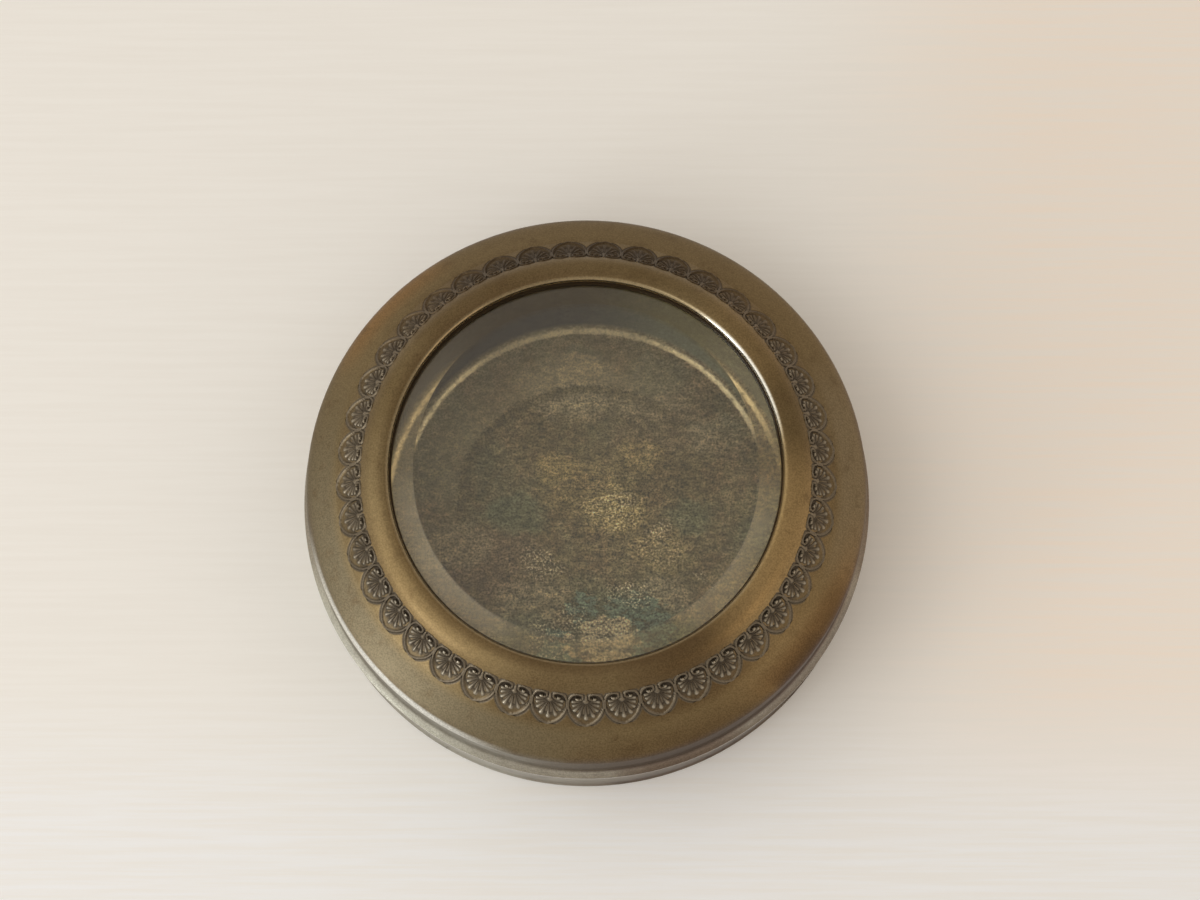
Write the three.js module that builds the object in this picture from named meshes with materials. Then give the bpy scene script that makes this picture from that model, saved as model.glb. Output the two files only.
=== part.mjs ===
// A round brass dresser box: a lift-off domed lid with a bevelled glass window, standing on a shallow base.
// Millimetres, +Z up, origin on the table under the middle of the box.
import * as THREE from 'three';

// The whole box
const LID_DIAMETER = 114;          // across the lid's flared lip
const OVERALL_HEIGHT = 39;         // table to the rim of the window
const SEAM_HEIGHT = 14.5;          // table to the lower edge of the lid
const SHEET = 0.8;                 // thickness of the pressed brass
const SOLDER_GAP = 0.3;            // left between pieces that are soldered or seated together
const LID_CLEARANCE = 0.5;         // lid wall to locating collar, on the radius
const TURNED_SIDES = 48;           // facets round a turned piece
const CURVE_STEPS = 4;             // chords in one bend of a section
const ROLL_STEPS = 2;              // chords in an eighth of a turn of a rolled edge

// The lid's dome, from the wall inwards, seen from above, with the height that each stretch climbs
const LIP_FLARE = 1.5;             // lip past the lid's upright wall
const LIP_EDGE = 0.8;              // upright edge of the lip
const LIP_RISE = 2.2;              // flare above that edge
const OUTER_BAND = 6.5;            // plain band that rolls over the shoulder
const OUTER_BAND_RISE = 5.4;
const SHOULDER_ROLL = 1.65;        // how far below its tangent corner the shoulder turns upright
const BORDER_WIDTH = 5.3;          // sloping band that carries the ornament
const BORDER_RISE = 5.8;
const INNER_BAND = 5.6;            // plain band beside the window, with its folded rim
const INNER_BAND_RISE = 2.5;
const RIM_FOLD = 1;                // radius of the fold round the window
const RIM_DEPTH = 1.9;             // folded rim, top to lower edge

// The window pane and what holds it
const GLASS_THICKNESS = 3.2;
const GLASS_EDGE = 1.7;            // what the bevel leaves at the rim
const BEVEL_WIDTH = 5.3;
const GLASS_COVER = 1.5;           // pane hidden under the rim, on the radius
const PACKING_THICKNESS = 0.5;
const PACKING_SETBACK = 0.2;       // packing and ring behind the edge of the rim
const CLIP_COUNT = 6;
const CLIP_WIDTH = 6;
const CLIP_REACH = 1.8;            // clip under the retaining ring's flange
const CLIP_STANDOFF = 0.7;         // clip outside the retaining ring

// The base
const BAND_INSET = 0.8;            // base band inside the lid's lip
const LEDGE_BEAD = 0.7;            // rolled edge of the ledge, past the band
const LEDGE_ROLL = 1;              // radius of that roll
const LEDGE_TUCK = 1.6;            // fall from the roll back to the band
const FOOT_FLARE = 0.4;            // foot past the band
const FOOT_ROLL = 1;               // radius of the foot's lower edge
const FOOT_RISE = 1.6;             // height of the flare above that edge
const FOOT_HEM = 1.2;              // flat that the box stands on
const COLLAR_DEPTH = 4.5;          // collar below the seam
const COLLAR_GRIP = 8 / 13;        // share of the lid's upright wall that the collar fills
const FLOOR_HEIGHT = 3.6;          // table to the floor inside
const COVE_WIDTH = 16.2;           // floor's edge to the bowl's upright flange
const COVE_FOOT = 4.2;             // bend at the floor, on the radius
const COVE_FOOT_RISE = 1.1;
const COVE_TOP = 1.7;              // bend under the flange, on the radius
const COVE_TOP_RISE = 2.2;
const FLANGE_HEIGHT = 1.2;
const FLANGE_SETBACK = 1.1;        // top of the flange below the seam

// Radii and heights that follow from them
const lipRadius = LID_DIAMETER / 2;
const wallRadius = lipRadius - LIP_FLARE;
const borderOuter = wallRadius - OUTER_BAND;
const borderInner = borderOuter - BORDER_WIDTH;
const windowRadius = borderInner - INNER_BAND;

const borderTop = OVERALL_HEIGHT - INNER_BAND_RISE;
const borderBottom = borderTop - BORDER_RISE;
const shoulderHeight = borderBottom - OUTER_BAND_RISE;
const lipTop = SEAM_HEIGHT + LIP_EDGE + LIP_RISE;

const collarOuter = wallRadius - SHEET - LID_CLEARANCE;
const collarInner = collarOuter - SHEET;
const collarTop = THREE.MathUtils.lerp(lipTop, shoulderHeight, COLLAR_GRIP);

const brass = new THREE.MeshStandardMaterial({ color: 0x8a7443, roughness: 0.38, metalness: 1 });
const tarnishedBrass = new THREE.MeshStandardMaterial({ color: 0x6b644c, roughness: 0.6, metalness: 1 });
const plateGlass = new THREE.MeshStandardMaterial({
  color: 0xdfe8e2,
  roughness: 0.04,
  metalness: 0,
  transparent: true,
  opacity: 0.3,
});
const card = new THREE.MeshStandardMaterial({ color: 0x8f8268, roughness: 0.95, metalness: 0 });

// Twice the signed area of a closed outline, positive where it runs anticlockwise
function windingOf(outline) {
  return outline.reduce((sum, point, i) => sum + point.cross(outline[(i + 1) % outline.length]), 0);
}

// A solid turned about Z from a section in radius and height, given as its corners in order
function turned(name, section, material) {
  const upOutside = windingOf(section) > 0 ? section : [...section].reverse();
  const onAxis = upOutside.findIndex((p, i) => p.x === 0 && upOutside.at(i - 1).x === 0);
  const ordered = onAxis < 0
    ? [...upOutside, upOutside[0]]
    : [...upOutside.slice(onAxis), ...upOutside.slice(0, onAxis)];
  const geometry = new THREE.LatheGeometry(ordered, TURNED_SIDES);
  geometry.rotateX(Math.PI / 2);
  const mesh = new THREE.Mesh(geometry, material);
  mesh.name = name;
  return mesh;
}

// The other face of a sheet, SHEET away on the right-hand side of the face's run
function backOf(face) {
  const normals = face.slice(1).map((p, i) => {
    const run = p.clone().sub(face[i]).normalize();
    return new THREE.Vector2(run.y, -run.x);
  });
  return face.map((p, i) => {
    const before = normals[Math.max(i - 1, 0)];
    const after = normals[Math.min(i, normals.length - 1)];
    const mitre = before.clone().add(after);
    const shift = mitre.multiplyScalar(2 * SHEET / mitre.lengthSq());
    const point = p.clone().add(shift);
    if (p.x === 0) point.x = 0;
    return point;
  });
}

// The section of a pressed sheet with the given face
function sheetSection(face) {
  return [...face, ...backOf(face).reverse()];
}

// A ring of rectangular section
function bandSection(inner, outer, bottom, top) {
  return [
    new THREE.Vector2(inner, bottom),
    new THREE.Vector2(outer, bottom),
    new THREE.Vector2(outer, top),
    new THREE.Vector2(inner, top),
  ];
}

// Lid shell: outer face from the folded rim over the border and shoulder to the lip
const borderSlope = BORDER_WIDTH / BORDER_RISE;
const bandBend = borderInner - INNER_BAND_RISE * borderSlope;
const rimBottom = OVERALL_HEIGHT - RIM_DEPTH;
const foldHeight = OVERALL_HEIGHT - RIM_FOLD;
const domePath = new THREE.Path();
domePath.moveTo(windowRadius, rimBottom);
domePath.lineTo(windowRadius, foldHeight);
domePath.absarc(windowRadius + RIM_FOLD, foldHeight, RIM_FOLD, Math.PI, Math.PI / 2, true);
domePath.quadraticCurveTo(bandBend, OVERALL_HEIGHT, borderInner, borderTop);
domePath.lineTo(borderOuter, borderBottom);
domePath.quadraticCurveTo(wallRadius, shoulderHeight + SHOULDER_ROLL, wallRadius, shoulderHeight);
domePath.lineTo(wallRadius, lipTop);
domePath.quadraticCurveTo(wallRadius, SEAM_HEIGHT + LIP_EDGE + LIP_FLARE, lipRadius, SEAM_HEIGHT + LIP_EDGE);
domePath.lineTo(lipRadius, SEAM_HEIGHT);
const domeFace = domePath.getPoints(CURVE_STEPS);
const domeBack = backOf(domeFace);
const lidShell = turned('lid_shell', sheetSection(domeFace), brass);

// Height of the dome's underside at a radius, clear of the solder
function underDome(radius) {
  const next = domeBack.findIndex((p) => p.x > radius);
  const [inner, outer] = [domeBack[next - 1], domeBack[next]];
  const share = (radius - inner.x) / (outer.x - inner.x);
  return THREE.MathUtils.lerp(inner.y, outer.y, share) - SOLDER_GAP;
}

// Pane: its bevel lies under the rim, and packing, ring and clips hold it up from below
const glassRadius = windowRadius + GLASS_COVER;
const bevelRise = GLASS_THICKNESS - GLASS_EDGE;
const bevelUnderRim = bevelRise * GLASS_COVER / BEVEL_WIDTH;
const glassEdgeTop = rimBottom - SOLDER_GAP - bevelUnderRim;
const glassBottom = glassEdgeTop - GLASS_EDGE;
const windowGlass = turned('window_glass', [
  new THREE.Vector2(0, glassBottom),
  new THREE.Vector2(glassRadius, glassBottom),
  new THREE.Vector2(glassRadius, glassEdgeTop),
  new THREE.Vector2(glassRadius - BEVEL_WIDTH, glassEdgeTop + bevelRise),
  new THREE.Vector2(0, glassEdgeTop + bevelRise),
], plateGlass);

const packingTop = glassBottom - SOLDER_GAP;
const packingInner = windowRadius + PACKING_SETBACK;
const packingSection = bandSection(packingInner, glassRadius, packingTop - PACKING_THICKNESS, packingTop);
const packingRing = turned('glass_packing_ring', packingSection, card);

// Retaining ring: an angle, its flange under the packing and its leg round the pane
const flangeTop = packingTop - PACKING_THICKNESS - SOLDER_GAP;
const flangeBottom = flangeTop - SHEET;
const legInner = glassRadius + SOLDER_GAP;
const legOuter = legInner + SHEET;
const legTop = underDome(legOuter);
const retainingRing = turned('glass_retaining_ring', [
  new THREE.Vector2(packingInner, flangeBottom),
  new THREE.Vector2(legOuter, flangeBottom),
  new THREE.Vector2(legOuter, legTop),
  new THREE.Vector2(legInner, legTop),
  new THREE.Vector2(legInner, flangeTop),
  new THREE.Vector2(packingInner, flangeTop),
], brass);

// Clips: bent strips, soldered under the dome and folded below the ring's flange
const clipTop = flangeBottom - SOLDER_GAP;
const clipLegInner = legOuter + CLIP_STANDOFF;
const clipLegOuter = clipLegInner + SHEET;
const clipOutline = new THREE.Shape([
  new THREE.Vector2(legOuter - CLIP_REACH, clipTop - SHEET),
  new THREE.Vector2(clipLegOuter, clipTop - SHEET),
  new THREE.Vector2(clipLegOuter, underDome(clipLegOuter)),
  new THREE.Vector2(clipLegInner, underDome(clipLegInner)),
  new THREE.Vector2(clipLegInner, clipTop),
  new THREE.Vector2(legOuter - CLIP_REACH, clipTop),
]);
const clipGeometry = new THREE.ExtrudeGeometry(clipOutline, { depth: CLIP_WIDTH, bevelEnabled: false });
clipGeometry.translate(0, 0, -CLIP_WIDTH / 2);
clipGeometry.rotateX(Math.PI / 2);
const clips = Array.from({ length: CLIP_COUNT }, (_, i) => {
  const clip = new THREE.Mesh(clipGeometry, brass);
  clip.name = `glass_clip_${i + 1}`;
  clip.rotation.z = 2 * Math.PI * (i + 0.5) / CLIP_COUNT;
  return clip;
});

// Base band: the flat ledge that carries the lid, its rolled edge, the wall and a foot turned in under it
const bandRadius = lipRadius - BAND_INSET;
const ledgeCentre = bandRadius + LEDGE_BEAD - LEDGE_ROLL;
const ledgeHeight = SEAM_HEIGHT - SOLDER_GAP;
const footCentre = bandRadius + FOOT_FLARE - FOOT_ROLL;
const bandPath = new THREE.Path();
bandPath.moveTo(collarOuter + SOLDER_GAP, ledgeHeight);
bandPath.lineTo(ledgeCentre, ledgeHeight);
bandPath.absarc(ledgeCentre, ledgeHeight - LEDGE_ROLL, LEDGE_ROLL, Math.PI / 2, 0, true);
bandPath.lineTo(bandRadius, ledgeHeight - LEDGE_ROLL - LEDGE_TUCK);
bandPath.lineTo(bandRadius, FOOT_ROLL + FOOT_RISE);
bandPath.lineTo(bandRadius + FOOT_FLARE, FOOT_ROLL);
bandPath.absarc(footCentre, FOOT_ROLL, FOOT_ROLL, 0, -Math.PI / 2, true);
bandPath.lineTo(footCentre - FOOT_HEM, 0);
const baseBand = turned('base_band', sheetSection(bandPath.getPoints(ROLL_STEPS)), brass);

// Locating collar: an upright ring through the ledge, which the lid's wall slips over
const collarSection = bandSection(collarInner, collarOuter, SEAM_HEIGHT - COLLAR_DEPTH, collarTop);
const locatingCollar = turned('locating_collar', collarSection, brass);

// Base bowl: flat floor, coved side and an upright flange inside the collar
const flangeInner = collarInner - SOLDER_GAP - SHEET;
const floorRadius = flangeInner - COVE_WIDTH;
const bowlTop = SEAM_HEIGHT - FLANGE_SETBACK;
const flangeFoot = bowlTop - FLANGE_HEIGHT;
const coveRun = COVE_WIDTH - COVE_FOOT - COVE_TOP;
const coveClimb = flangeFoot - COVE_TOP_RISE - FLOOR_HEIGHT - COVE_FOOT_RISE;
const coveSlope = coveClimb / coveRun;
const bowlPath = new THREE.Path();
bowlPath.moveTo(flangeInner, bowlTop);
bowlPath.lineTo(flangeInner, flangeFoot);
bowlPath.quadraticCurveTo(
  flangeInner,
  flangeFoot - COVE_TOP_RISE + COVE_TOP * coveSlope,
  flangeInner - COVE_TOP,
  flangeFoot - COVE_TOP_RISE,
);
bowlPath.lineTo(floorRadius + COVE_FOOT, FLOOR_HEIGHT + COVE_FOOT_RISE);
bowlPath.quadraticCurveTo(
  floorRadius + COVE_FOOT - COVE_FOOT_RISE / coveSlope,
  FLOOR_HEIGHT,
  floorRadius,
  FLOOR_HEIGHT,
);
bowlPath.lineTo(0, FLOOR_HEIGHT);
const bowlFace = bowlPath.getPoints(CURVE_STEPS).reverse();
const baseBowl = turned('base_bowl', sheetSection(bowlFace), tarnishedBrass);

const lid = new THREE.Group();
lid.add(lidShell, windowGlass, packingRing, retainingRing, ...clips);

const base = new THREE.Group();
base.add(baseBand, locatingCollar, baseBowl);

const dresserBox = new THREE.Group();
dresserBox.add(base, lid);

export default dresserBox;
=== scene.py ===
# A round dresser box in aged brass, with a bevelled glass window in its lift-off lid.
# Metres, +Z up, the box standing on the floor at the origin. Azimuths run anticlockwise from +X,
# seen from above.
import math
from functools import partial

import bmesh
import bpy
import numpy as np
from mathutils import Matrix, Vector


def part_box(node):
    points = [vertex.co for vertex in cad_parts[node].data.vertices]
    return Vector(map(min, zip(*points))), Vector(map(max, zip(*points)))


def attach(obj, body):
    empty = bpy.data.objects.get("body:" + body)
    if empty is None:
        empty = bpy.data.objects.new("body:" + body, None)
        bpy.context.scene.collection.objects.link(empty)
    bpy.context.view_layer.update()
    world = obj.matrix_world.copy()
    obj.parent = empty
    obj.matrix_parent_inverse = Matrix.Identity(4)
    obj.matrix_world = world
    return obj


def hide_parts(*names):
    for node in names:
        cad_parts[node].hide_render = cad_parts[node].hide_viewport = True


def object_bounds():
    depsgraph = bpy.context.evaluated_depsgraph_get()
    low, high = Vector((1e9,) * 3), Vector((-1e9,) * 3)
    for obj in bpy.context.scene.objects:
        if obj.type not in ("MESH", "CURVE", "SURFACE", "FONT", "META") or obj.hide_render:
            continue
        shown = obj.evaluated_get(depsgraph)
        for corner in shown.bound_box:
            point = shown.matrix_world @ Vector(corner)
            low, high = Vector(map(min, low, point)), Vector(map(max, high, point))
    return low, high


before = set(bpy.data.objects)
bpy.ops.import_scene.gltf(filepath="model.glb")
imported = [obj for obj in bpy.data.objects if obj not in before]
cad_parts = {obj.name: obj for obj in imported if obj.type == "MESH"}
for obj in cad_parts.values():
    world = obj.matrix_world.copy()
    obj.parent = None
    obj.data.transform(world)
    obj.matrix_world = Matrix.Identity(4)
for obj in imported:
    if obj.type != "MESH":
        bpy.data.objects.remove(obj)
cad_low, cad_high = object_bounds()


# Base band
# The ring of pressed brass that the box stands on, olive with age, silvery towards the front left and brown
# towards the right.
# Its top is rolled over to a flat ledge that carries the lid, and its lower edge is turned under as a foot.
SHEET = 0.0008
SPUN_SIDES = 164
BEND_STEPS = 8
ARRIS = 0.00015
CREASE_DEG = 38.0
SPIN_MERGE = 1e-7
LEDGE_BEAD = 0.0007
LEDGE_ROLL = 0.001
LEDGE_DROP = 0.0002
LEDGE_TUCK = 0.0016
TUCK_EASE = 0.0006
FOOT_FLARE = 0.0004
FOOT_ROLL = 0.001
FOOT_RISE = 0.0016
FLARE_EASE = 0.0006
FOOT_HEM = 0.0012
COLLAR_ROOM = 0.0003


def bend(start, corner, end):
    """A bend in a section that leaves start towards corner and comes into end from it."""
    steps = np.linspace(0, 1, BEND_STEPS + 1)[:, None]
    start, corner, end = map(np.array, (start, corner, end))
    return list((1 - steps) ** 2 * start + 2 * steps * (1 - steps) * corner + steps ** 2 * end)


def roll(centre, radius, from_deg, to_deg):
    """A round stretch of a section, as an arc about centre."""
    turn = np.radians(np.linspace(from_deg, to_deg, BEND_STEPS + 1))
    return [np.array(centre) + radius * np.array((math.cos(a), math.sin(a))) for a in turn]


def sheet_back(face, thickness):
    """The other face of a sheet, to the right of the run of the face given."""
    points = np.array(face)
    runs = np.diff(points, axis=0)
    runs /= np.linalg.norm(runs, axis=1)[:, None]
    normals = np.stack((runs[:, 1], -runs[:, 0]), axis=1)
    mitres = np.vstack((normals[:1], normals)) + np.vstack((normals, normals[-1:]))
    backs = points + 2 * thickness * mitres / (mitres ** 2).sum(axis=1)[:, None]
    backs[points[:, 0] == 0, 0] = 0
    return list(backs)


def finish_mesh(name, bm, arris, crease_deg=CREASE_DEG):
    """The piece made of a bmesh, with its sharp corners eased and the rest shaded smooth."""
    crease = math.radians(crease_deg)
    corners = [edge for edge in bm.edges if edge.is_manifold and edge.calc_face_angle() > crease]
    if arris:
        bmesh.ops.bevel(
            bm, geom=corners, offset=arris, offset_type="OFFSET", affect="EDGES", segments=2,
            profile=0.5, material=-1, clamp_overlap=True)
    mesh = bpy.data.meshes.new(name)
    bm.to_mesh(mesh)
    bm.free()
    mesh.shade_smooth()
    mesh.set_sharp_from_angle(angle=crease)
    piece = bpy.data.objects.new(name, mesh)
    bpy.context.scene.collection.objects.link(piece)
    return piece


def spin_section(name, section, arris=ARRIS, crease_deg=CREASE_DEG):
    """A piece turned about Z from its section in radius and height, left open if it starts on the axis."""
    bm = bmesh.new()
    corners = [bm.verts.new((radius, 0, height)) for radius, height in section]
    ends = list(zip(corners, corners[1:]))
    if section[0][0] > 0:
        ends.append((corners[-1], corners[0]))
    edges = [bm.edges.new(pair) for pair in ends]
    bmesh.ops.spin(
        bm, geom=corners + edges, cent=(0, 0, 0), axis=(0, 0, 1), angle=2 * math.pi, steps=SPUN_SIDES,
        use_merge=True)
    bmesh.ops.remove_doubles(bm, verts=bm.verts, dist=SPIN_MERGE)
    bmesh.ops.recalc_face_normals(bm, faces=bm.faces)
    return finish_mesh(name, bm, arris, crease_deg)


def add_node(tree, kind, feeds=None, **settings):
    """A shader node. Feeds are values, or sockets to link, for its inputs by name or number."""
    made = tree.nodes.new(kind)
    for key, value in settings.items():
        setattr(made, key, value)
    for key, value in (feeds or {}).items():
        if isinstance(value, bpy.types.NodeSocket):
            tree.links.new(value, made.inputs[key])
        else:
            made.inputs[key].default_value = value
    return made


def sum_of(tree, how, first, second=0.0, third=0.0):
    """One step of arithmetic on two or three values."""
    return add_node(tree, "ShaderNodeMath", {0: first, 1: second, 2: third}, operation=how).outputs[0]


def vector_sum(tree, how, *values):
    """The outputs of one step of arithmetic on vectors."""
    return add_node(tree, "ShaderNodeVectorMath", dict(enumerate(values)), operation=how).outputs


def product(tree, value, *others):
    """Two or more values multiplied."""
    for other in others:
        value = sum_of(tree, "MULTIPLY", value, other)
    return value


def scaled(tree, value, by, plus):
    """A value times another, plus a third."""
    return sum_of(tree, "MULTIPLY_ADD", value, by, plus)


def mixed(tree, first, second, share):
    """Two values added, the first by its share and the second by the rest."""
    return sum_of(tree, "ADD", product(tree, first, share), product(tree, second, 1 - share))


def noise(tree, place, scale, detail=4.0, roughness=0.55, distortion=0.0):
    """Cloudy noise from 0 to 1, with scale patches to the metre."""
    feeds = dict(Vector=place, Scale=scale, Detail=detail, Roughness=roughness, Distortion=distortion)
    return add_node(tree, "ShaderNodeTexNoise", feeds).outputs[0]


def ease(tree, value, low, high, at_low=0.0, at_high=1.0):
    """A smooth step of value from at_low, at low, to at_high, at high."""
    feeds = {0: value, 1: low, 2: high, 3: at_low, 4: at_high}
    return add_node(tree, "ShaderNodeMapRange", feeds, interpolation_type="SMOOTHSTEP").outputs[0]


def fade(tree, value, mark, run, at_low=0.0, at_high=1.0):
    """A smooth step of value between two places, given by their distances from mark."""
    return ease(tree, value, mark + run[0], mark + run[1], at_low, at_high)


def lessened(tree, mask, least):
    """1 outside a mask, down to least where the mask is full."""
    return ease(tree, mask, 0, 1, 1.0, least)


def tint(tree, share, first, second, how="MIX"):
    """Two colours mixed, or one laid over the other, by share."""
    feeds = {0: share, 6: first, 7: second}
    return add_node(tree, "ShaderNodeMix", feeds, data_type="RGBA", blend_type=how).outputs[2]


def layered(tree, colour, *coats):
    """A colour with coats laid over it in turn, each with its share."""
    for share, coat in coats:
        colour = tint(tree, share, colour, coat)
    return colour


def polar_place(tree, place):
    """(radius, azimuth, height) of the shaded point about the axis of the box."""
    parts = add_node(tree, "ShaderNodeSeparateXYZ", {0: place}).outputs
    flat = add_node(tree, "ShaderNodeCombineXYZ", {0: parts[0], 1: parts[1]}).outputs[0]
    radius = vector_sum(tree, "LENGTH", flat)["Value"]
    azimuth = sum_of(tree, "ARCTAN2", parts[1], parts[0])
    return radius, azimuth, parts[2]


def new_material(name):
    """An empty node material, with its tree, its shader and Object coordinates."""
    material = bpy.data.materials.new(name)
    material.use_nodes = True
    tree = material.node_tree
    shader = tree.nodes["Principled BSDF"]
    place = add_node(tree, "ShaderNodeTexCoord").outputs["Object"]
    return material, tree, shader, place


def feed(tree, shader, **sockets):
    """Sets or links the shader's inputs; words in a name are joined by an underscore."""
    for key, value in sockets.items():
        socket = shader.inputs[key.replace("_", " ")]
        if isinstance(value, bpy.types.NodeSocket):
            tree.links.new(value, socket)
        else:
            socket.default_value = value


def bump(tree, height, strength, depth):
    """A bumped normal from a height of 0 to 1, depth metres deep."""
    feeds = dict(Height=height, Strength=strength, Distance=depth)
    return add_node(tree, "ShaderNodeBump", feeds).outputs[0]


def polish_marks(tree, place, across, along):
    """Fine lines round the axis, as a lathe and a polishing rag leave them."""
    radius, azimuth, height = polar_place(tree, place)
    slope = product(tree, sum_of(tree, "SUBTRACT", radius, height), across)
    turn = product(tree, azimuth, along)
    drawn = add_node(tree, "ShaderNodeCombineXYZ", {0: slope, 1: turn}).outputs[0]
    return noise(tree, drawn, scale=1, detail=3, roughness=0.6)


BAND_OLIVE = (0.30, 0.235, 0.135, 1)
BAND_SILVER = (0.44, 0.425, 0.37, 1)
BAND_BROWN = (0.16, 0.120, 0.090, 1)
BAND_PATINA = (0.060, 0.043, 0.040, 1)
BAND_LINES = (5200, 18)
BAND_UNEVEN = 0.45
POLISH_SHARE = 0.6
FINE_DEPTH = 0.00005

# Where the band and the lid's wall are brown or silvery: azimuth, half width, strength
BROWNED_SIDES = [(-42, 75, 0.95), (80, 70, 0.5)]
SILVERED_SIDES = [(-125, 75, 1.0)]


def sweeps(tree, azimuth, spans):
    """Mask of stretches round the axis, each with its middle azimuth, half width and strength."""
    mask = None
    for middle, half, strength in spans:
        turned = sum_of(tree, "COSINE", sum_of(tree, "SUBTRACT", azimuth, math.radians(middle)))
        span = ease(tree, turned, math.cos(math.radians(half)), 1.0, 0.0, strength)
        mask = span if mask is None else sum_of(tree, "MAXIMUM", mask, span)
    return mask


def band_brass():
    """Aged brass, silvery towards the front left, brown towards the right, and blotted with dark patina."""
    material, tree, shader, place = new_material("base band brass")
    radius, azimuth, height = polar_place(tree, place)
    swept = partial(sweeps, tree, azimuth)
    clouds = noise(tree, place, scale=60, detail=6)
    grain = noise(tree, place, scale=2600, detail=3)
    blots = noise(tree, place, scale=130, detail=8, roughness=0.65)
    lines = polish_marks(tree, place, *BAND_LINES)
    rub = ease(tree, scaled(tree, grain, 0.3, clouds), 0.42, 0.78)
    browned = sum_of(tree, "ADD", swept(BROWNED_SIDES), BAND_UNEVEN)
    colour = layered(
        tree, BAND_OLIVE,
        (swept(SILVERED_SIDES), BAND_SILVER),
        (scaled(tree, rub, -BAND_UNEVEN, browned), BAND_BROWN),
        (ease(tree, blots, 0.50, 0.76, 0, 0.7), BAND_PATINA))
    relief = mixed(tree, lines, grain, POLISH_SHARE)
    feed(tree, shader, Base_Color=colour, Metallic=1.0, Roughness=scaled(tree, clouds, 0.22, 0.22),
         Normal=bump(tree, relief, 0.25, FINE_DEPTH))
    return material


band_low, band_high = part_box("base_band")
collar_low, collar_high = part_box("locating_collar")
band_radius = band_high.x - LEDGE_BEAD
ledge_centre = band_high.x - LEDGE_ROLL
ledge_height = band_high.z
foot_centre = band_radius + FOOT_FLARE - FOOT_ROLL
ledge_inner = collar_high.x + COLLAR_ROOM
tuck_height = ledge_height - LEDGE_ROLL - LEDGE_TUCK
flare_height = FOOT_ROLL + FOOT_RISE
band_face = [
    (ledge_inner, ledge_height),
    *roll((ledge_centre, ledge_height - LEDGE_ROLL), LEDGE_ROLL, 90, 0),
    *bend((band_high.x, ledge_height - LEDGE_ROLL - LEDGE_DROP), (band_radius, tuck_height + TUCK_EASE),
          (band_radius, tuck_height)),
    *bend((band_radius, flare_height), (band_radius, FOOT_ROLL + FLARE_EASE),
          (band_radius + FOOT_FLARE, FOOT_ROLL)),
    *roll((foot_centre, FOOT_ROLL), FOOT_ROLL, 0, -90)[1:],
    (foot_centre - FOOT_HEM, 0),
]
base_band = spin_section("base_band_ring", band_face + sheet_back(band_face, SHEET)[::-1])
base_band.data.materials.append(band_brass())
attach(base_band, "base")
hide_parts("base_band")


# Base bowl
# The spun inside of the base, seen through the window: a flat floor with a coved side. The brass is dull
# grey-green with tarnish and verdigris and shows golden where the floor has been rubbed. The golden ring at
# the bend is partly rubbed brass and partly a painted highlight, and the cove's dark colour is partly
# tarnish and partly painted shade under the lid, lighter on the lit right.
COVE_WIDTH = 0.0162
COVE_FOOT = 0.0042
COVE_FOOT_RISE = 0.0011
COVE_TOP = 0.0017
COVE_TOP_RISE = 0.0022
FLANGE_HEIGHT = 0.0012

TARNISH_GREY = (0.505, 0.395, 0.206, 1)
TARNISH_DARK = (0.250, 0.192, 0.101, 1)
TARNISH_BROWN = (0.425, 0.288, 0.156, 1)
TARNISH_PLUM = (0.395, 0.275, 0.178, 1)
RUBBED_GOLD = (0.72, 0.54, 0.24, 1)
BEND_GOLD_AND_HIGHLIGHT = (0.90, 0.74, 0.48, 1)
VERDIGRIS = (0.240, 0.268, 0.160, 1)
VERDIGRIS_TEAL = (0.245, 0.300, 0.210, 1)
PALE_BLOOM = (0.66, 0.54, 0.34, 1)
PALE_TAN = (0.78, 0.62, 0.38, 1)
COVE_SLATE = (0.138, 0.124, 0.078, 1)
COVE_MAUVE = (0.125, 0.092, 0.068, 1)
COVE_GREEN = (0.350, 0.335, 0.215, 1)
PALE_FLAKE = (0.90, 0.76, 0.52, 1)

WIPE_TURN = math.radians(8)
WIPE_STRETCH = 0.6
WIPE_WANDER = 0.0015
SCRATCH_STRETCH = 0.12
STAIN_STRETCH = 0.7
STAIN_DRIFT = 0.0045
STAIN_EDGE = (0.55, 1.15)
FLAKE_BREAKS = 1.6
FLAKE_FLOOR = 1.3
FLAKE_EDGE = (0.23, 0.39)
FLAKE_FULL = 0.95
FLOOR_STAIN_RADIUS = 0.0285
FLOOR_STAIN_FADE = (0.0, 0.003)
FLOOR_STAIN_RAGGED = 0.004
PALE_RING_START = 0.0262
PALE_RING_FADE = (0.0, 0.0012)
PALE_RING_SWEEPS = [(118, 100, 0.8)]
RING_LINE_RISE = (-0.0026, -0.0004)
RING_LINE_FALL = (-0.0002, 0.0006)
COVE_FADE = (-0.0018, -0.0006)
BEND_FRAY = 0.0006
BEND_RISE = (0.0010, 0.0015)
BEND_FALL = (-0.0023, -0.0015)
RING_SHARE = 0.4
COARSE_DEPTH = 0.0001

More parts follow.
